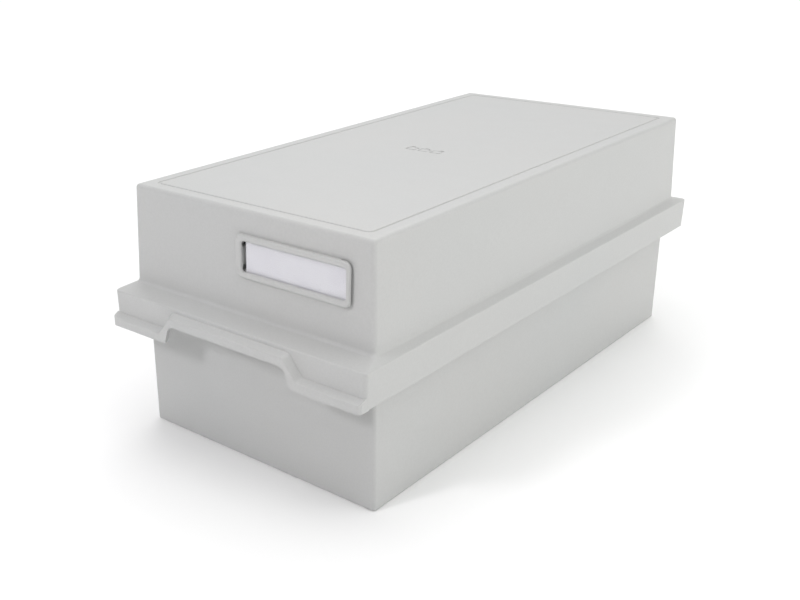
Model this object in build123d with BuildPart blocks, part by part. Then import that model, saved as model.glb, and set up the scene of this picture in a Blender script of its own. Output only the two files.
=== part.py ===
"""Card-index box for A6 cards: a deep lid that lifts off a tray, with a label holder and a card support.

Millimetres. The origin is the centre of the tray's underside, +Z is up and the front, with the label, is -Y.
"""
import os
from math import atan, cos, degrees, radians, sin, tan

from build123d import *

# ---- Hood of the lid -------------------------------------------------------------------------------------
LID_TOP = (168.4, 343.0)        # width and length over the top edge
BOX_HEIGHT = 147.6              # underside of the tray to the top of the closed lid
LID_DRAFT = 1.8                 # degrees that the hood's walls lean in
WALL = 2.5                      # moulded wall thickness of lid and tray
LID_CORNER = 2.4                # radius of the upright corners of hood and skirt
TOP_ROUND = 2.3                 # radius along the top edge
INNER_CORNER = 1.0              # radius of the upright corners inside lid and tray
GROOVE_INSET = 8.8              # edge of the top to the middle of the groove round its panel
GROOVE_CORNER = 4.0
GROOVE_FLOOR = 1.0              # width at the bottom of the groove
GROOVE_DEPTH = 0.5
GROOVE_FLARE = 35.0             # degrees that the groove's sides lean out

# ---- Flange and skirt of the lid ----------------------------------------------------------------------------
HOOD_FOOT_Z = 90.2              # where the hood meets the sloping flange
FLANGE_EDGE_Z = 87.1            # outer edge of the flange, top of the skirt
FLANGE_EDGE = (182.0, 372.7)    # width and length over the flange's outer edge
SKIRT_FOOT_Z = 67.0
SKIRT_DRAFT = 1.8               # degrees that the skirt's sides lean in towards its foot
SKIRT_FOOT_ROUND = 0.9
LEDGE_Z = 84.0                  # underside of the flange, which sits over the tray's rim
COVE_ROUND = 2.5                # hollow between hood and flange
FLANGE_ROUND = 0.9

# ---- Flared pull along the front skirt ----------------------------------------------------------------------
PULL_REACH = 4.2                # how far the pull stands in front of the skirt
PULL_SLOPE = 2.1                # fall of its sloping upper face over that reach
PULL_TOP_Z = 73.9               # top of the pull beside the finger notch
PULL_CORNER = 2.6               # radius of its upright front corners
PULL_EDGE_ROUND = 1.0           # rounding along the front of its upper face
PULL_ROOT = 3.0                 # how far it reaches back into the skirt
PULL_WALL = 2.2
NOTCH_RISE = 11.1               # the pull climbs this much over the finger notch
NOTCH_FOOT_X = 46.0             # half widths of the finger notch at its foot and top
NOTCH_TOP_X = 42.3
NOTCH_RADII = [1.0, 1.0, 2.0, 5.5]
PULL_STEP_FOOT_X = 51.5         # half widths where the pull's upper face starts and ends its climb
PULL_STEP_TOP_X = 42.5
PULL_RADII = [4.0, 4.0, 2.0, 5.0]
POCKET_RADII = [0.5, 0.5, 2.5, 2.5]

# ---- Tray ---------------------------------------------------------------------------------------------------
TRAY_FOOT = (165.6, 337.7)      # width and length at the underside
TRAY_DRAFT = 0.1
TRAY_CORNER = 1.8
TRAY_FOOT_ROUND = 1.1
FLOOR = 2.8
FLOOR_ROUND = 1.2
RIM_GAP = 0.3                   # lid's flange to tray's rim
RIM_THICK = 2.5
RIM_OVERHANG = 4.0              # how far the rim stands out from the tray's wall
RIM_CORNER = 3.0
COLLAR_TOP_Z = 90.0             # the tray's wall ends in a collar inside the hood
COLLAR_STEP = 0.6
COLLAR_ROUND = 0.8

# ---- Floor rail and card support ----------------------------------------------------------------------------
CARD_REST_Z = 8.3               # top of the rail and of the two ribs that the cards stand on
RAIL_HEAD = (14.0, 1.8)         # width and thickness of the rail's head
RAIL_STEM_WIDTH = 8.0
RAIL_FRONT_Y = -161.0
RAIL_BACK_Y = 122.0             # the gap behind it lets the shoe drop in
RIB_X = 45.0
RIB_WIDTH = 3.0
RIB_LENGTH = 324.0
RIB_CORNER = 1.0

SUPPORT_Y = 70.0                # middle of the shoe at rest
SHOE = (26.0, 34.0)             # width and length of the shoe
SHOE_FOOT_Z = 3.3
SHOE_TOP_Z = 13.3
SHOE_CORNER = 4.0
SHOE_ROUND = 0.8
SLIDE_GAP = 0.3                 # shoe to rail
SPRING_POCKET = (9.0, 26.0, 2.0)
SPRING_STRIP = (8.0, 24.0, 0.4)  # width, length and thickness of the leaf spring
SPRING_RISE = 1.4
SPRING_GAP = 0.1                # spring's middle to the rail

SHEET = 1.2                     # steel of the support plate
PLATE = (140.0, 95.0)           # width and height of its leaning panel
PLATE_LEAN = 12.0
PLATE_CORNER = 12.0
PLATE_SCALLOP = 16.0            # radius of the finger scallop in its top edge
PLATE_FOOT_GAP = 1.0            # panel to the ribs below it
PLATE_AHEAD = 3.0               # panel's foot to the front of the shoe
PLATE_NOTCH_GAP = 1.0           # shoe to each side of the notch in the panel's foot
TONGUE = (24.0, 30.0)           # foot tongue that is riveted to the shoe
RIVET_X = 9.0
RIVET_SHANK = 1.5
RIVET_HEAD = (3.0, 1.3)         # radius and height
RIVET_ROUND = 1.0
RIVET_DEPTH = 3.5
HOLE_CLEARANCE = 0.05           # pegs and rivets to their holes

# ---- Label holder -------------------------------------------------------------------------------------------
LABEL_X = 34.1                  # centre of the holder on the front wall
LABEL_Z = 123.2
BEZEL = (76.0, 23.4)            # outside of the snap-in frame
BEZEL_CORNER = 3.5
BEZEL_THICK = 1.3
BEZEL_LIFT = 1.25               # depth of the label channel behind the frame
BEZEL_ROUND = 1.1
WINDOW_OPENING = (68.9, 16.4)
WINDOW_X = 0.75                 # middle of the opening, from the holder's centre
WINDOW_CORNER = 1.5
RAIL_WIDTH = 1.8                # frame's rails above and below the label channel
RAIL_SHORT = 5.0                # the rails stop this far before the open right end
PEG = 1.2                       # side of the four square pegs that locate the frame
PEG_INSET = 3.0
HOOK = (1.8, 9.5)               # thickness and height of the snap hook at the channel's closed end
HOOK_FACE_X = -33.85            # hook's face towards the label, from the holder's centre
HOOK_BARB = 0.5
HOOK_REACH = 1.6                # how far the hook goes past the inside of the wall
HOOK_PLAY = 0.1                 # barb to the inside of the wall
BARB_TAPER = 10.0
SLOT = (4.1, 15.6)              # slot in the front wall that the hook snaps through
SLOT_LEFT_X = -35.95
INSERT = (67.9, 19.2)           # label card and clear cover
INSERT_X = 2.35
INSERT_CORNER = 1.0
CARD_BACK = 0.15                # wall to the back of the card
CARD_THICK = 0.4
COVER_GAP = 0.05
COVER_THICK = 0.5

# ---- Moulded mark on the lid: three index cards -------------------------------------------------------------
MARK_Y = -11.0
MARK_CARD = (7.0, 6.0)
MARK_PITCH = 9.0
MARK_LINE = 0.7
MARK_TAB = (3.0, 1.6)
MARK_DEPTH = 0.35

MARGIN = 10.0                   # how far cutting shapes reach past what they cut
NEAR = 0.01                     # how close to a height an edge must lie to be on it


def grown(size, amount):
    """A width and length with the same amount added to each side."""
    return (size[0] + 2 * amount, size[1] + 2 * amount)


def lean(height, angle):
    """Sideways run of a face that leans by an angle, in degrees, over a height."""
    return height * tan(radians(angle))


def plan(height, size, corner):
    """Rounded rectangle about the Z axis at a height."""
    with BuildSketch(Plane.XY.offset(height)) as outline:
        RectangleRounded(size[0], size[1], corner)
    return outline.sketch


def leaning_plane(x, y, z, angle):
    """Plane on a face that looks forward and leans back: its X is the row's X and its Y climbs the face."""
    normal = (0, -cos(radians(angle)), sin(radians(angle)))
    return Plane(origin=(x, y, z), x_dir=(1, 0, 0), z_dir=normal)


def mirrored(points):
    """Points of the right half, followed by their mirror images in reverse order."""
    return points + [(-x, z) for x, z in reversed(points)]


def drafted(low, low_size, high, high_size, corner):
    """Sections of a block with leaning walls and the same corner radius all the way up."""
    return [plan(low, low_size, corner), plan(high, high_size, corner)]


def edges_at(part, height):
    """The edges of a part that lie at a height."""
    return part.edges().filter_by_position(Axis.Z, height - NEAR, height + NEAR)


def front_region(points, radii, plane):
    """Closed region on an upright plane from mirrored corner points and the right half's corner radii."""
    with BuildSketch(plane) as region:
        with BuildLine():
            FilletPolyline(*points, radius=radii + radii[::-1], close=True)
        make_face()
    return region.sketch


# ---- Lid ----------------------------------------------------------------------------------------------------
hood_foot = grown(LID_TOP, lean(BOX_HEIGHT - HOOD_FOOT_Z, LID_DRAFT))
hood_ledge = grown(LID_TOP, lean(BOX_HEIGHT - LEDGE_Z, LID_DRAFT))
skirt_foot = (FLANGE_EDGE[0] - 2 * lean(FLANGE_EDGE_Z - SKIRT_FOOT_Z, SKIRT_DRAFT), FLANGE_EDGE[1])
skirt_ledge = (FLANGE_EDGE[0] - 2 * lean(FLANGE_EDGE_Z - LEDGE_Z, SKIRT_DRAFT), FLANGE_EDGE[1])
ceiling_z = BOX_HEIGHT - WALL
hood_ceiling = grown(LID_TOP, lean(WALL, LID_DRAFT))
panel = grown(LID_TOP, -GROOVE_INSET)
skirt_front_y = -skirt_foot[1] / 2
pull_front_y = skirt_front_y - PULL_REACH
pocket_top_z = PULL_TOP_Z - PULL_SLOPE - PULL_WALL
below = SKIRT_FOOT_Z - MARGIN
beyond = FLANGE_EDGE[0]

notch_corners = mirrored(
    [
        (beyond, below),
        (beyond, SKIRT_FOOT_Z),
        (NOTCH_FOOT_X, SKIRT_FOOT_Z),
        (NOTCH_TOP_X, SKIRT_FOOT_Z + NOTCH_RISE),
    ]
)
pull_corners = mirrored(
    [
        (beyond, below),
        (beyond, PULL_TOP_Z),
        (PULL_STEP_FOOT_X, PULL_TOP_Z),
        (PULL_STEP_TOP_X, PULL_TOP_Z + NOTCH_RISE),
    ]
)
pocket_corners = mirrored(
    [
        (skirt_foot[0] / 2 - WALL, below),
        (skirt_foot[0] / 2 - WALL, pocket_top_z),
        (PULL_STEP_FOOT_X + PULL_WALL, pocket_top_z),
        (PULL_STEP_TOP_X + PULL_WALL, pocket_top_z + NOTCH_RISE),
    ]
)

front_face = Plane.XZ.offset(-skirt_front_y)
pull_slope_angle = degrees(atan(PULL_SLOPE / PULL_REACH))

# The pull: its outline lies against the skirt and shrinks towards the front, which slopes its upper face.
with BuildPart() as pull:
    extrude(front_region(pull_corners, PULL_RADII, front_face), amount=PULL_REACH, taper=pull_slope_angle)
    fillet(pull.faces().sort_by(Axis.Y)[0].edges(), PULL_EDGE_ROUND)
    extrude(front_region(pull_corners, PULL_RADII, front_face), amount=-PULL_ROOT)
    # Its ends are flush with the skirt's sides.
    extrude(plan(SKIRT_FOOT_Z, (skirt_foot[0], -2 * pull_front_y), PULL_CORNER),
            amount=FLANGE_EDGE_Z - SKIRT_FOOT_Z, mode=Mode.INTERSECT)

# The groove round the top panel.
with BuildPart() as groove:
    extrude(plan(BOX_HEIGHT - GROOVE_DEPTH, grown(panel, GROOVE_FLOOR / 2), GROOVE_CORNER),
            amount=2 * GROOVE_DEPTH, taper=-GROOVE_FLARE)
    extrude(plan(BOX_HEIGHT - GROOVE_DEPTH, grown(panel, -GROOVE_FLOOR / 2), GROOVE_CORNER - GROOVE_FLOOR),
            amount=2 * GROOVE_DEPTH, taper=GROOVE_FLARE, mode=Mode.SUBTRACT)

label_wall_y = -(LID_TOP[1] / 2 + lean(BOX_HEIGHT - LABEL_Z, LID_DRAFT))
label_plane = leaning_plane(LABEL_X, label_wall_y, LABEL_Z, LID_DRAFT)
peg_y = BEZEL[1] / 2 - RAIL_WIDTH / 2
peg_spots = [
    (side * (BEZEL[0] / 2 - PEG_INSET) - (RAIL_SHORT if side > 0 else 0), up * peg_y)
    for side in (-1, 1)
    for up in (-1, 1)
]

with BuildPart() as lid:
    loft(drafted(SKIRT_FOOT_Z, skirt_foot, FLANGE_EDGE_Z, FLANGE_EDGE, LID_CORNER), ruled=True)
    fillet(edges_at(lid, SKIRT_FOOT_Z), SKIRT_FOOT_ROUND)
    loft(drafted(FLANGE_EDGE_Z, FLANGE_EDGE, HOOD_FOOT_Z, hood_foot, LID_CORNER), ruled=True)
    loft(drafted(HOOD_FOOT_Z, hood_foot, BOX_HEIGHT, LID_TOP, LID_CORNER), ruled=True)
    # Hollow between hood and flange, and the rounding along the top and the flange.
    fillet(edges_at(lid, HOOD_FOOT_Z), COVE_ROUND)
    fillet(edges_at(lid, BOX_HEIGHT), TOP_ROUND)
    fillet(edges_at(lid, FLANGE_EDGE_Z), FLANGE_ROUND)
    # Groove and moulded mark on the top.
    add(groove.part, mode=Mode.SUBTRACT)
    with BuildSketch(Plane.XY.offset(BOX_HEIGHT)):
        with Locations((0, MARK_Y)):
            with GridLocations(MARK_PITCH, 0, 3, 1):
                Rectangle(*MARK_CARD)
                Rectangle(MARK_CARD[0] - 2 * MARK_LINE, MARK_CARD[1] - 2 * MARK_LINE, mode=Mode.SUBTRACT)
        for place in (-1, 0, 1):
            tab_x = place * (MARK_PITCH + MARK_TAB[0] / 2)
            with Locations((tab_x, MARK_Y + (MARK_CARD[1] + MARK_TAB[1]) / 2)):
                Rectangle(*MARK_TAB)
    extrude(amount=-MARK_DEPTH, mode=Mode.SUBTRACT)
    # The pull, then the hollow inside skirt and hood.
    add(pull.part)
    loft(drafted(SKIRT_FOOT_Z, grown(skirt_foot, -WALL), LEDGE_Z, grown(skirt_ledge, -WALL), INNER_CORNER),
         ruled=True, mode=Mode.SUBTRACT)
    loft(drafted(LEDGE_Z, grown(hood_ledge, -WALL), ceiling_z, grown(hood_ceiling, -WALL), INNER_CORNER),
         ruled=True, mode=Mode.SUBTRACT)
    # The pull is hollow from below, and open at the finger notch.
    extrude(front_region(pocket_corners, POCKET_RADII, front_face.offset(-2 * WALL)),
            amount=2 * WALL + PULL_REACH - PULL_WALL, mode=Mode.SUBTRACT)
    extrude(front_region(notch_corners, NOTCH_RADII, front_face.offset(-2 * WALL)),
            amount=4 * WALL + PULL_REACH, mode=Mode.SUBTRACT)
    # Slot and holes that the label frame snaps into.
    with BuildSketch(label_plane):
        with Locations((SLOT_LEFT_X + SLOT[0] / 2, 0)):
            Rectangle(*SLOT)
        with Locations(*peg_spots):
            Rectangle(PEG + 2 * HOLE_CLEARANCE, PEG + 2 * HOLE_CLEARANCE)
    extrude(amount=2 * WALL, both=True, mode=Mode.SUBTRACT)
lid.part.label = "lid"

# ---- Tray ---------------------------------------------------------------------------------------------------
rim_top_z = LEDGE_Z - RIM_GAP
tray_rim = grown(TRAY_FOOT, lean(rim_top_z, TRAY_DRAFT))
rail_half = RAIL_HEAD[0] / 2

with BuildPart() as tray:
    extrude(plan(0, TRAY_FOOT, TRAY_CORNER), amount=rim_top_z, taper=-TRAY_DRAFT)
    fillet(tray.faces().sort_by(Axis.Z)[0].edges(), TRAY_FOOT_ROUND)
    extrude(plan(rim_top_z - RIM_THICK, grown(tray_rim, RIM_OVERHANG), RIM_CORNER), amount=RIM_THICK)
    extrude(plan(rim_top_z, grown(tray_rim, -COLLAR_STEP), TRAY_CORNER), amount=COLLAR_TOP_Z - rim_top_z)
    fillet(tray.faces().sort_by(Axis.Z)[-1].edges(), COLLAR_ROUND)
    extrude(plan(FLOOR, grown(TRAY_FOOT, -WALL), INNER_CORNER),
            amount=COLLAR_TOP_Z - FLOOR, taper=-TRAY_DRAFT, mode=Mode.SUBTRACT)
    fillet(edges_at(tray, FLOOR), FLOOR_ROUND)
    # T-shaped rail for the shoe, with a rib on each side at the same height.
    with BuildSketch(Plane.XZ.offset(-RAIL_BACK_Y)):
        with BuildLine():
            Polyline(*mirrored([
                (RAIL_STEM_WIDTH / 2, FLOOR - WALL / 2),
                (RAIL_STEM_WIDTH / 2, CARD_REST_Z - RAIL_HEAD[1]),
                (rail_half, CARD_REST_Z - RAIL_HEAD[1]),
                (rail_half, CARD_REST_Z),
            ]), close=True)
        make_face()
    extrude(amount=RAIL_BACK_Y - RAIL_FRONT_Y)
    with BuildSketch(Plane.XY.offset(FLOOR - WALL / 2)):
        with GridLocations(2 * RIB_X, 0, 2, 1):
            RectangleRounded(RIB_WIDTH, RIB_LENGTH, RIB_CORNER)
    extrude(amount=CARD_REST_Z - FLOOR + WALL / 2)
tray.part.label = "tray"

# ---- Card support -------------------------------------------------------------------------------------------
shoe_middle = Plane.XY.move(Location((0, SUPPORT_Y, 0)))
rivet_spots = [(-RIVET_X, 0), (RIVET_X, 0)]

with BuildPart() as shoe:
    with BuildSketch(shoe_middle.offset(SHOE_FOOT_Z)):
        RectangleRounded(SHOE[0], SHOE[1], SHOE_CORNER)
    extrude(amount=SHOE_TOP_Z - SHOE_FOOT_Z)
    fillet(shoe.faces().sort_by(Axis.Z)[-1].edges(), SHOE_ROUND)
    # Channel that grips the rail's head.
    with BuildSketch(Plane.XZ.offset(-SUPPORT_Y - SHOE[1])):
        with Locations((0, CARD_REST_Z - RAIL_HEAD[1] / 2)):
            Rectangle(RAIL_HEAD[0] + 2 * SLIDE_GAP, RAIL_HEAD[1] + 2 * SLIDE_GAP)
        with Locations((0, (SHOE_FOOT_Z + CARD_REST_Z) / 2)):
            Rectangle(RAIL_STEM_WIDTH + 2 * SLIDE_GAP, CARD_REST_Z - SHOE_FOOT_Z)
    extrude(amount=2 * SHOE[1], mode=Mode.SUBTRACT)
    # Pocket for the leaf spring above the rail, and blind holes for the rivets.
    with BuildSketch(shoe_middle.offset(CARD_REST_Z)):
        Rectangle(SPRING_POCKET[0], SPRING_POCKET[1])
    extrude(amount=SLIDE_GAP + SPRING_POCKET[2], mode=Mode.SUBTRACT)
    with BuildSketch(shoe_middle.offset(SHOE_TOP_Z)):
        with Locations(*rivet_spots):
            Circle(RIVET_SHANK)
    extrude(amount=-RIVET_DEPTH, mode=Mode.SUBTRACT)
shoe.part.label = "support_shoe"

spring_low_z = CARD_REST_Z + SPRING_GAP
spring_end = SPRING_STRIP[1] / 2
with BuildPart() as spring:
    with BuildSketch(Plane.YZ.offset(-SPRING_STRIP[0] / 2)):
        with BuildLine():
            low = ThreePointArc(
                (SUPPORT_Y - spring_end, spring_low_z + SPRING_RISE),
                (SUPPORT_Y, spring_low_z),
                (SUPPORT_Y + spring_end, spring_low_z + SPRING_RISE),
            )
            high = ThreePointArc(
                (SUPPORT_Y - spring_end, spring_low_z + SPRING_RISE + SPRING_STRIP[2]),
                (SUPPORT_Y, spring_low_z + SPRING_STRIP[2]),
                (SUPPORT_Y + spring_end, spring_low_z + SPRING_RISE + SPRING_STRIP[2]),
            )
            Line(low @ 0, high @ 0)
            Line(low @ 1, high @ 1)
        make_face()
    extrude(amount=SPRING_STRIP[0])
spring.part.label = "shoe_spring"

tongue_top_z = SHOE_TOP_Z + SHEET
panel_low_z = CARD_REST_Z + PLATE_FOOT_GAP
panel_front_y = SUPPORT_Y - SHOE[1] / 2 - PLATE_AHEAD
panel_plane = leaning_plane(0, panel_front_y, panel_low_z, PLATE_LEAN)
panel_back_y = panel_front_y + SHEET / cos(radians(PLATE_LEAN)) + lean(SHOE_TOP_Z - panel_low_z, PLATE_LEAN)

with BuildPart() as plate:
    # Leaning panel with a scallop for the finger and a gap where the tongue is bent out of it.
    with BuildSketch(panel_plane) as panel_outline:
        with Locations((0, PLATE[1] / 2)):
            Rectangle(*PLATE)
        top_corners = panel_outline.vertices().group_by(Axis.Z)[-1]
        fillet(top_corners, PLATE_CORNER)
        with Locations((0, PLATE[1])):
            Circle(PLATE_SCALLOP, mode=Mode.SUBTRACT)
        with Locations((0, (SHOE_TOP_Z - panel_low_z) / 2)):
            Rectangle(SHOE[0] + 2 * PLATE_NOTCH_GAP, SHOE_TOP_Z - panel_low_z, mode=Mode.SUBTRACT)
    extrude(amount=-SHEET)
    # Tongue lying on the shoe, with a bend in its corner.
    with BuildSketch(Plane.XY.offset(SHOE_TOP_Z)):
        with Locations((0, panel_back_y - SHEET / 2 + TONGUE[1] / 2)):
            Rectangle(*TONGUE)
    extrude(amount=SHEET)
    bend = plate.edges().filter_by(Axis.X).sort_by_distance((0, panel_back_y + SHEET / 4, tongue_top_z))[0]
    fillet(bend, SHEET)
    with BuildSketch(Plane.XY.offset(SHOE_TOP_Z)):
        with Locations(*[(x, SUPPORT_Y) for x, _ in rivet_spots]):
            Circle(RIVET_SHANK + HOLE_CLEARANCE)
    extrude(amount=SHEET, mode=Mode.SUBTRACT)
plate.part.label = "support_plate"

with BuildPart() as rivets:
    with BuildSketch(shoe_middle.offset(SHOE_TOP_Z - RIVET_DEPTH)):
        with Locations(*rivet_spots):
            Circle(RIVET_SHANK)
    extrude(amount=RIVET_DEPTH + SHEET)
    with BuildSketch(shoe_middle.offset(tongue_top_z)):
        with Locations(*rivet_spots):
            Circle(RIVET_HEAD[0])
    extrude(amount=RIVET_HEAD[1])
    fillet(rivets.edges().filter_by(GeomType.CIRCLE).group_by(Axis.Z)[-1], RIVET_ROUND)
rivets.part.label = "plate_rivets"

# ---- Label holder -------------------------------------------------------------------------------------------
bezel_back = label_plane.offset(BEZEL_LIFT)
hook_reach = WALL + HOOK_REACH

with BuildPart() as frame:
    with BuildSketch(bezel_back):
        RectangleRounded(BEZEL[0], BEZEL[1], BEZEL_CORNER)
        with Locations((WINDOW_X, 0)):
            RectangleRounded(WINDOW_OPENING[0], WINDOW_OPENING[1], WINDOW_CORNER, mode=Mode.SUBTRACT)
    extrude(amount=BEZEL_THICK)
    fillet(frame.faces().sort_by(Axis.Y)[0].edges(), BEZEL_ROUND)
    # Rails that stand the frame off the wall; they stop short of the open right end.
    with BuildSketch(label_plane):
        with Locations((-RAIL_SHORT / 2, 0)):
            with GridLocations(0, 2 * peg_y, 1, 2):
                Rectangle(BEZEL[0] - RAIL_SHORT - BEZEL_CORNER, RAIL_WIDTH)
    extrude(amount=BEZEL_LIFT)
    # Pegs and the hook that hold the frame in the wall.
    with BuildSketch(label_plane):
        with Locations(*peg_spots):
            Rectangle(PEG, PEG)
    extrude(amount=-WALL)
    with BuildSketch(bezel_back):
        with Locations((HOOK_FACE_X - HOOK[0] / 2, 0)):
            Rectangle(*HOOK)
    extrude(amount=-(BEZEL_LIFT + hook_reach))
    with BuildSketch(label_plane.offset(-WALL - HOOK_PLAY)):
        with Locations((HOOK_FACE_X - (HOOK[0] + HOOK_BARB) / 2, 0)):
            Rectangle(HOOK[0] + HOOK_BARB, HOOK[1])
    extrude(amount=-(HOOK_REACH - HOOK_PLAY), taper=BARB_TAPER)
frame.part.label = "label_frame"

with BuildPart() as card:
    with BuildSketch(label_plane.offset(CARD_BACK)):
        with Locations((INSERT_X, 0)):
            RectangleRounded(INSERT[0], INSERT[1], INSERT_CORNER)
    extrude(amount=CARD_THICK)
card.part.label = "label_card"

with BuildPart() as cover:
    with BuildSketch(label_plane.offset(CARD_BACK + CARD_THICK + COVER_GAP)):
        with Locations((INSERT_X, 0)):
            RectangleRounded(INSERT[0], INSERT[1], INSERT_CORNER)
    extrude(amount=COVER_THICK)
cover.part.label = "label_cover"

# ---- One STEP file for each piece -------------------------------------------------------------------------------
os.makedirs("parts", exist_ok=True)
for piece in (tray, lid, frame, card, cover, plate, shoe, spring, rivets):
    export_step(piece.part, f"parts/{piece.part.label}.step")
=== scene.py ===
"""Looks of the card-index box: grey plastic, a paper label behind a clear cover, soft studio light."""
import math

import bpy
from mathutils import Matrix, Vector


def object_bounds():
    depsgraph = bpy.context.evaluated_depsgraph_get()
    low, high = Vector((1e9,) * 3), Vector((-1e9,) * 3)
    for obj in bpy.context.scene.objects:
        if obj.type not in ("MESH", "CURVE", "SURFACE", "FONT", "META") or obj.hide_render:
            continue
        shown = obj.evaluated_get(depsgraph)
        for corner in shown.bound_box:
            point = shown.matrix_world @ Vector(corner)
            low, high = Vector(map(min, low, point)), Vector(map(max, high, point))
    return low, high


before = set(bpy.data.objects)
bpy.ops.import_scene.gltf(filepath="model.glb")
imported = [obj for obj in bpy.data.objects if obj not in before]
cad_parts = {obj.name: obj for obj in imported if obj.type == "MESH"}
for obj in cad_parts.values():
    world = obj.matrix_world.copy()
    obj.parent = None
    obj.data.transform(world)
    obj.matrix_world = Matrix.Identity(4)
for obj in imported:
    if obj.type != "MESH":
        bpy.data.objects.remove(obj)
cad_low, cad_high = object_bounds()
centre = (cad_low + cad_high) / 2

# ---- Camera ---------------------------------------------------------------------------------------------
CAMERA_AZIMUTH = 41.395         # degrees to the right of the front
CAMERA_ELEVATION = 21.315
CAMERA_ROLL = -1.233
CAMERA_DISTANCE = 0.67459
CAMERA_LENS = 46.82
SENSOR_WIDTH = 36.0
CAMERA_SHIFT = (0.1179, -0.0027)
AIM_RIGHT = -0.08095            # where the camera aims, to the left of and below the object's centre
AIM_UP = -0.02313

# ---- Light ----------------------------------------------------------------------------------------------
WHITE = (1.0, 1.0, 1.0)
WARM_GREEN = (0.985, 1.0, 0.965)
COOL = (0.99, 0.975, 1.0)
WORLD_STRENGTH = 0.35
# soft boxes turned towards the object: azimuth, elevation, distance, width, height, watts, colour
SOFTBOXES = {
    "over": (0.0, 85.0, 2.6, 4.0, 4.0, 35.0, WHITE),
    "key": (-16.0, 34.0, 1.8, 0.3, 0.3, 7.5, COOL),
    "right_low": (122.0, 12.0, 1.8, 1.2, 1.0, 5.7, WARM_GREEN),
    "right_high": (92.0, 28.0, 1.8, 1.2, 1.0, 6.5, WARM_GREEN),
}
# soft box that hangs over the floor behind the object and faces straight down
FLOOR_LIGHT_PLACE = (-2.2, 3.0, 2.4)
FLOOR_LIGHT_SIZE = (4.0, 3.0)
FLOOR_LIGHT_WATTS = 67.0
# broad light from high up, even over the whole floor
CEILING_AZIMUTH = 180.0
CEILING_ELEVATION = 75.0
CEILING_SPREAD = 60.0           # degrees
CEILING_STRENGTH = 0.6          # watts to the square metre


def aim_axes(azimuth, elevation):
    """Unit vectors back from the target, to the right and up, for a view from an azimuth and elevation."""
    a = math.radians(azimuth)
    e = math.radians(elevation)
    back = Vector((math.sin(a) * math.cos(e), -math.cos(a) * math.cos(e), math.sin(e)))
    right = Vector((math.cos(a), math.sin(a), 0.0))
    return back, right, back.cross(right)


def facing_centre(azimuth, elevation):
    """Direction from the object towards a light, and the turn that makes the light face the object."""
    back, right, up = aim_axes(azimuth, elevation)
    return back, Matrix((right, up, back)).transposed()


def place_camera():
    """Camera at the photograph's viewing angle, from the front right and a little above."""
    back, right, up = aim_axes(CAMERA_AZIMUTH, CAMERA_ELEVATION)
    target = centre + right * AIM_RIGHT + up * AIM_UP
    data = bpy.data.cameras.new("camera")
    data.lens = CAMERA_LENS
    data.sensor_width = SENSOR_WIDTH
    data.shift_x, data.shift_y = CAMERA_SHIFT
    camera = bpy.data.objects.new("camera", data)
    bpy.context.scene.collection.objects.link(camera)
    turn = Matrix((right, up, back)).transposed() @ Matrix.Rotation(math.radians(CAMERA_ROLL), 3, "Z")
    camera.matrix_world = Matrix.Translation(target + back * CAMERA_DISTANCE) @ turn.to_4x4()
    bpy.context.scene.camera = camera


def add_light(name, kind, place, turn, colour=WHITE):
    """Light of one kind at a place; it shines along the turn's third column, reversed."""
    data = bpy.data.lights.new(name, kind)
    data.color = colour
    light = bpy.data.objects.new("light_" + name, data)
    bpy.context.scene.collection.objects.link(light)
    light.matrix_world = Matrix.Translation(place) @ turn.to_4x4()
    return data


def add_softbox(name, place, turn, width, height, watts, colour=WHITE):
    """Rectangular area light."""
    data = add_light(name, "AREA", place, turn, colour)
    data.shape = "RECTANGLE"
    data.size = width
    data.size_y = height
    data.energy = watts


def light_studio():
    """Even surroundings, soft boxes round the object, one over the floor, and a broad ceiling light."""
    world = bpy.data.worlds.new("studio")
    world.use_nodes = True
    background = world.node_tree.nodes["Background"]
    background.inputs["Color"].default_value = (*WHITE, 1.0)
    background.inputs["Strength"].default_value = WORLD_STRENGTH
    bpy.context.scene.world = world
    for name, (azimuth, elevation, distance, width, height, watts, colour) in SOFTBOXES.items():
        back, turn = facing_centre(azimuth, elevation)
        add_softbox(name, centre + back * distance, turn, width, height, watts, colour)
    face_down = Matrix.Identity(3)
    add_softbox("floor", Vector(FLOOR_LIGHT_PLACE), face_down, *FLOOR_LIGHT_SIZE, FLOOR_LIGHT_WATTS)
    back, turn = facing_centre(CEILING_AZIMUTH, CEILING_ELEVATION)
    ceiling = add_light("ceiling", "SUN", centre + back, turn)
    ceiling.angle = math.radians(CEILING_SPREAD)
    ceiling.energy = CEILING_STRENGTH
    bpy.context.scene.view_settings.view_transform = "Standard"


# ---- Materials ------------------------------------------------------------------------------------------
RAMP_ENDS = (0.35, 0.65)


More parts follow.
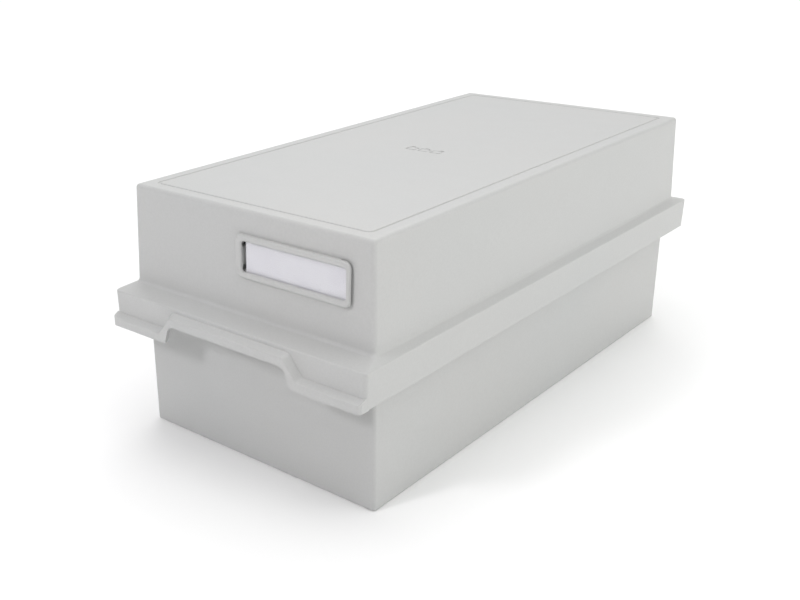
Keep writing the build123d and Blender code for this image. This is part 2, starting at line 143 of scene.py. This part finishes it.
class Shading:
    """A node material with a Principled shader, and short ways to add nodes to it."""

    def __init__(self, name):
        self.material = bpy.data.materials.new(name)
        self.material.use_nodes = True
        self.nodes = self.material.node_tree.nodes
        self.links = self.material.node_tree.links
        self.shader = self.nodes["Principled BSDF"]
        self.place = self.nodes.new("ShaderNodeTexCoord").outputs["Object"]

    def set(self, **values):
        """Fixed values of the shader's own sockets, with _ for a space in their names."""
        for name, value in values.items():
            self.shader.inputs[name.replace("_", " ")].default_value = value

    def noise(self, scale, detail=2.0, roughness=0.5, place=None):
        """Noise with a number of features to the metre."""
        node = self.nodes.new("ShaderNodeTexNoise")
        node.inputs["Scale"].default_value = scale
        node.inputs["Detail"].default_value = detail
        node.inputs["Roughness"].default_value = roughness
        self.links.new(place or self.place, node.inputs["Vector"])
        return node.outputs["Fac"]

    def stretch(self, x, y, z):
        """Object coordinates scaled along each axis."""
        node = self.nodes.new("ShaderNodeMapping")
        node.inputs["Scale"].default_value = (x, y, z)
        self.links.new(self.place, node.inputs["Vector"])
        return node.outputs["Vector"]

    def ramp(self, value, low, high):
        """Colour ramp from low to high over the middle of a value's spread."""
        node = self.nodes.new("ShaderNodeValToRGB")
        for element, position, colour in zip(node.color_ramp.elements, RAMP_ENDS, (low, high)):
            element.position = position
            element.color = (*colour, 1.0)
        self.links.new(value, node.inputs["Fac"])
        return node.outputs["Color"]

    def between(self, value, low, high):
        """A value from 0 to 1 spread between two numbers."""
        node = self.nodes.new("ShaderNodeMapRange")
        node.inputs["To Min"].default_value = low
        node.inputs["To Max"].default_value = high
        self.links.new(value, node.inputs["Value"])
        return node.outputs["Result"]

    def multiply(self, factor, a, b):
        """Colour a darkened by colour b, as far as the factor says."""
        node = self.nodes.new("ShaderNodeMix")
        node.data_type = "RGBA"
        node.blend_type = "MULTIPLY"
        node.inputs["Factor"].default_value = factor
        first, second = [socket for socket in node.inputs if socket.type == "RGBA"]
        self.links.new(a, first)
        self.links.new(b, second)
        return next(socket for socket in node.outputs if socket.type == "RGBA")

    def to(self, socket, value):
        """Links a value to one of the shader's sockets."""
        self.links.new(value, self.shader.inputs[socket])

    def bump(self, height, distance, under=None):
        """Relief of a height map, its full depth in metres, over any relief under it."""
        node = self.nodes.new("ShaderNodeBump")
        node.inputs["Strength"].default_value = 1.0
        node.inputs["Distance"].default_value = distance
        self.links.new(height, node.inputs["Height"])
        if under is not None:
            self.links.new(under, node.inputs["Normal"])
        return node.outputs["Normal"]


def moulded_plastic(name, tone, warm_tone):
    """Satin light-grey plastic: fine grain, faint flow clouds and a slight unevenness of sheen."""
    s = Shading(name)
    clouds = s.ramp(s.noise(7.0, 3.0), tone, warm_tone)
    speck = s.ramp(s.noise(900.0, 1.0), (0.97, 0.97, 0.97), (1.0, 1.0, 1.0))
    s.to("Base Color", s.multiply(1.0, clouds, speck))
    s.to("Roughness", s.between(s.noise(55.0, 4.0, 0.6), 0.40, 0.52))
    waves = s.bump(s.noise(22.0, 1.0), 0.00012)
    s.to("Normal", s.bump(s.noise(1800.0, 2.0), 0.00002, waves))
    s.set(IOR=1.5)
    return s.material


def label_paper():
    """Uncoated white card: fine fibres and a very faint unevenness."""
    s = Shading("label_paper")
    fibres = s.noise(1400.0, 5.0, 0.65, s.stretch(0.35, 1.0, 1.0))
    tint = s.ramp(s.noise(60.0, 2.0), (0.74, 0.73, 0.775), (0.765, 0.76, 0.795))
    shade = s.ramp(fibres, (0.97, 0.97, 0.97), (1.0, 1.0, 1.0))
    s.to("Base Color", s.multiply(0.5, tint, shade))
    s.to("Normal", s.bump(fibres, 0.000004))
    s.set(Roughness=0.75)
    return s.material


def clear_cover():
    """Thin clear plastic with a gloss and faint scuffs; it lets most of the card's white through."""
    s = Shading("clear_cover")
    s.to("Roughness", s.between(s.noise(500.0, 4.0, 0.7, s.stretch(0.1, 1.0, 1.0)), 0.15, 0.3))
    s.to("Base Color", s.ramp(s.noise(80.0), (0.86, 0.86, 0.89), (0.9, 0.9, 0.92)))
    s.set(Alpha=0.15, IOR=1.46)
    return s.material


def coated_steel():
    """Grey powder coat: orange-peel relief and small specks."""
    s = Shading("coated_steel")
    s.to("Base Color", s.ramp(s.noise(400.0, 3.0), (0.235, 0.245, 0.25), (0.265, 0.275, 0.28)))
    s.to("Roughness", s.between(s.noise(60.0, 3.0), 0.38, 0.52))
    s.to("Normal", s.bump(s.noise(1100.0, 2.0), 0.00005))
    s.set(Metallic=0.0, IOR=1.5)
    return s.material


def dark_plastic():
    """Dark grey low-friction plastic of the shoe, rubbed a little brighter in streaks along the rail."""
    s = Shading("dark_plastic")
    rubbed = s.noise(300.0, 3.0, 0.6, s.stretch(1.0, 0.08, 1.0))
    s.to("Base Color", s.ramp(rubbed, (0.022, 0.023, 0.024), (0.05, 0.052, 0.054)))
    s.to("Roughness", s.between(rubbed, 0.35, 0.6))
    s.to("Normal", s.bump(s.noise(1600.0), 0.00002))
    return s.material


def bare_metal(name, tone, grain):
    """Bare metal with drawn grain along Y."""
    s = Shading(name)
    drawn = s.noise(grain, 3.0, 0.6, s.stretch(1.0, 0.05, 1.0))
    s.to("Base Color", s.ramp(drawn, [0.86 * c for c in tone], tone))
    s.to("Roughness", s.between(drawn, 0.22, 0.42))
    s.to("Normal", s.bump(drawn, 0.00001))
    s.set(Metallic=1.0)
    return s.material


def floor_material():
    """Matte white floor."""
    s = Shading("floor_white")
    s.to("Base Color", s.ramp(s.noise(3.0), (0.945, 0.945, 0.945), (0.96, 0.96, 0.96)))
    s.set(Roughness=0.9, Specular_IOR_Level=0.2)
    return s.material


def dress(node, material):
    """Gives a CAD node its material."""
    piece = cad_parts[node]
    piece.data.materials.clear()
    piece.data.materials.append(material)


FLOOR_WIDTH = 24.0


def lay_floor():
    """Plain pale floor under the box, wide enough to fill the photograph's view."""
    half = FLOOR_WIDTH / 2
    z = cad_low.z
    mesh = bpy.data.meshes.new("floor")
    corners = [(-half, -half, z), (half, -half, z), (half, half, z), (-half, half, z)]
    mesh.from_pydata(corners, [], [(0, 1, 2, 3)])
    floor = bpy.data.objects.new("floor", mesh)
    bpy.context.scene.collection.objects.link(floor)
    mesh.materials.append(floor_material())


place_camera()
light_studio()
lay_floor()

grey = moulded_plastic("grey_plastic", (0.52, 0.525, 0.522), (0.53, 0.53, 0.524))
for node in ("tray", "lid", "label_frame"):
    dress(node, grey)
dress("label_card", label_paper())
dress("label_cover", clear_cover())
dress("support_plate", coated_steel())
dress("support_shoe", dark_plastic())
dress("shoe_spring", bare_metal("spring_steel", (0.55, 0.55, 0.56), 900.0))
dress("plate_rivets", bare_metal("rivet_aluminium", (0.78, 0.78, 0.79), 1500.0))
